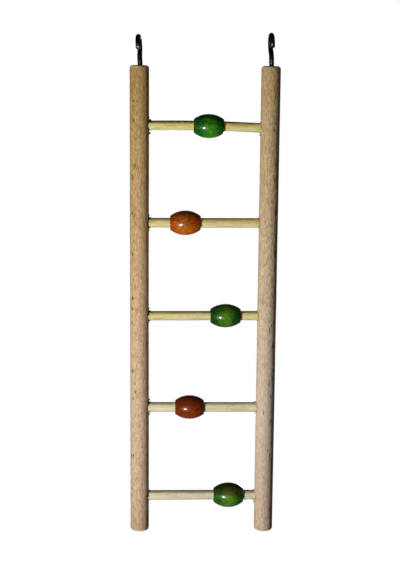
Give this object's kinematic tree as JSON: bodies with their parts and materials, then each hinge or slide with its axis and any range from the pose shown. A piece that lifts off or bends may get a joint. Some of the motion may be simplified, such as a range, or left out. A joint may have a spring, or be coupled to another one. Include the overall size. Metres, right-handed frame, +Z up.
{
  "type": "bird ladder",
  "caption": "Upright wooden bird ladder with round rails, thin round rungs, a loose barrel bead on each rung and wire screw hooks on top.",
  "frame": {"origin": "on the line of the cage bar that both hooks hang on, midway between the hooks", "axes": "+X along the cage bar towards the right rail, +Y to the back of the ladder, +Z up along the rails; the hooks open to the front, -Y"},
  "size_m": [0.093, 0.016, 0.3209],
  "materials": {
    "rail_wood": "bare sanded beech, fine flecks",
    "rung_wood": "bare pale yellow wood",
    "green_stain": "deep green stain under clear gloss",
    "orange_stain": "orange brown stain under clear gloss",
    "red_stain": "dark red brown stain under clear gloss",
    "hook_wire": "drawn wire, dark, with bright cut ends"
  },
  "bodies": {
    "ladder": {"left_rail": "rail_wood", "right_rail": "rail_wood", "rung_1": "rung_wood", "rung_2": "rung_wood", "rung_3": "rung_wood", "rung_4": "rung_wood", "rung_5": "rung_wood", "left_hook": "hook_wire", "right_hook": "hook_wire"},
    "bead_1": {"bead_1": "green_stain"},
    "bead_2": {"bead_2": "orange_stain"},
    "bead_3": {"bead_3": "green_stain"},
    "bead_4": {"bead_4": "red_stain"},
    "bead_5": {"bead_5": "green_stain"}
  },
  "joints": [
    {"name": "bead_1_slide", "type": "slide", "parent": "ladder", "child": "bead_1", "axis": [0.9999, 0, -0.016], "range_m": [-0.02742, 0.02239]},
    {"name": "bead_2_slide", "type": "slide", "parent": "ladder", "child": "bead_2", "axis": [1, 0, 0.0012], "range_m": [-0.013, 0.0364]},
    {"name": "bead_3_slide", "type": "slide", "parent": "ladder", "child": "bead_3", "axis": [1, 0, 0.0037], "range_m": [-0.03881, 0.01049]},
    {"name": "bead_4_slide", "type": "slide", "parent": "ladder", "child": "bead_4", "axis": [1, 0, 0], "range_m": [-0.01668, 0.03332]},
    {"name": "bead_5_slide", "type": "slide", "parent": "ladder", "child": "bead_5", "axis": [1, 0, 0.0037], "range_m": [-0.04196, 0.00724]}
  ]
}
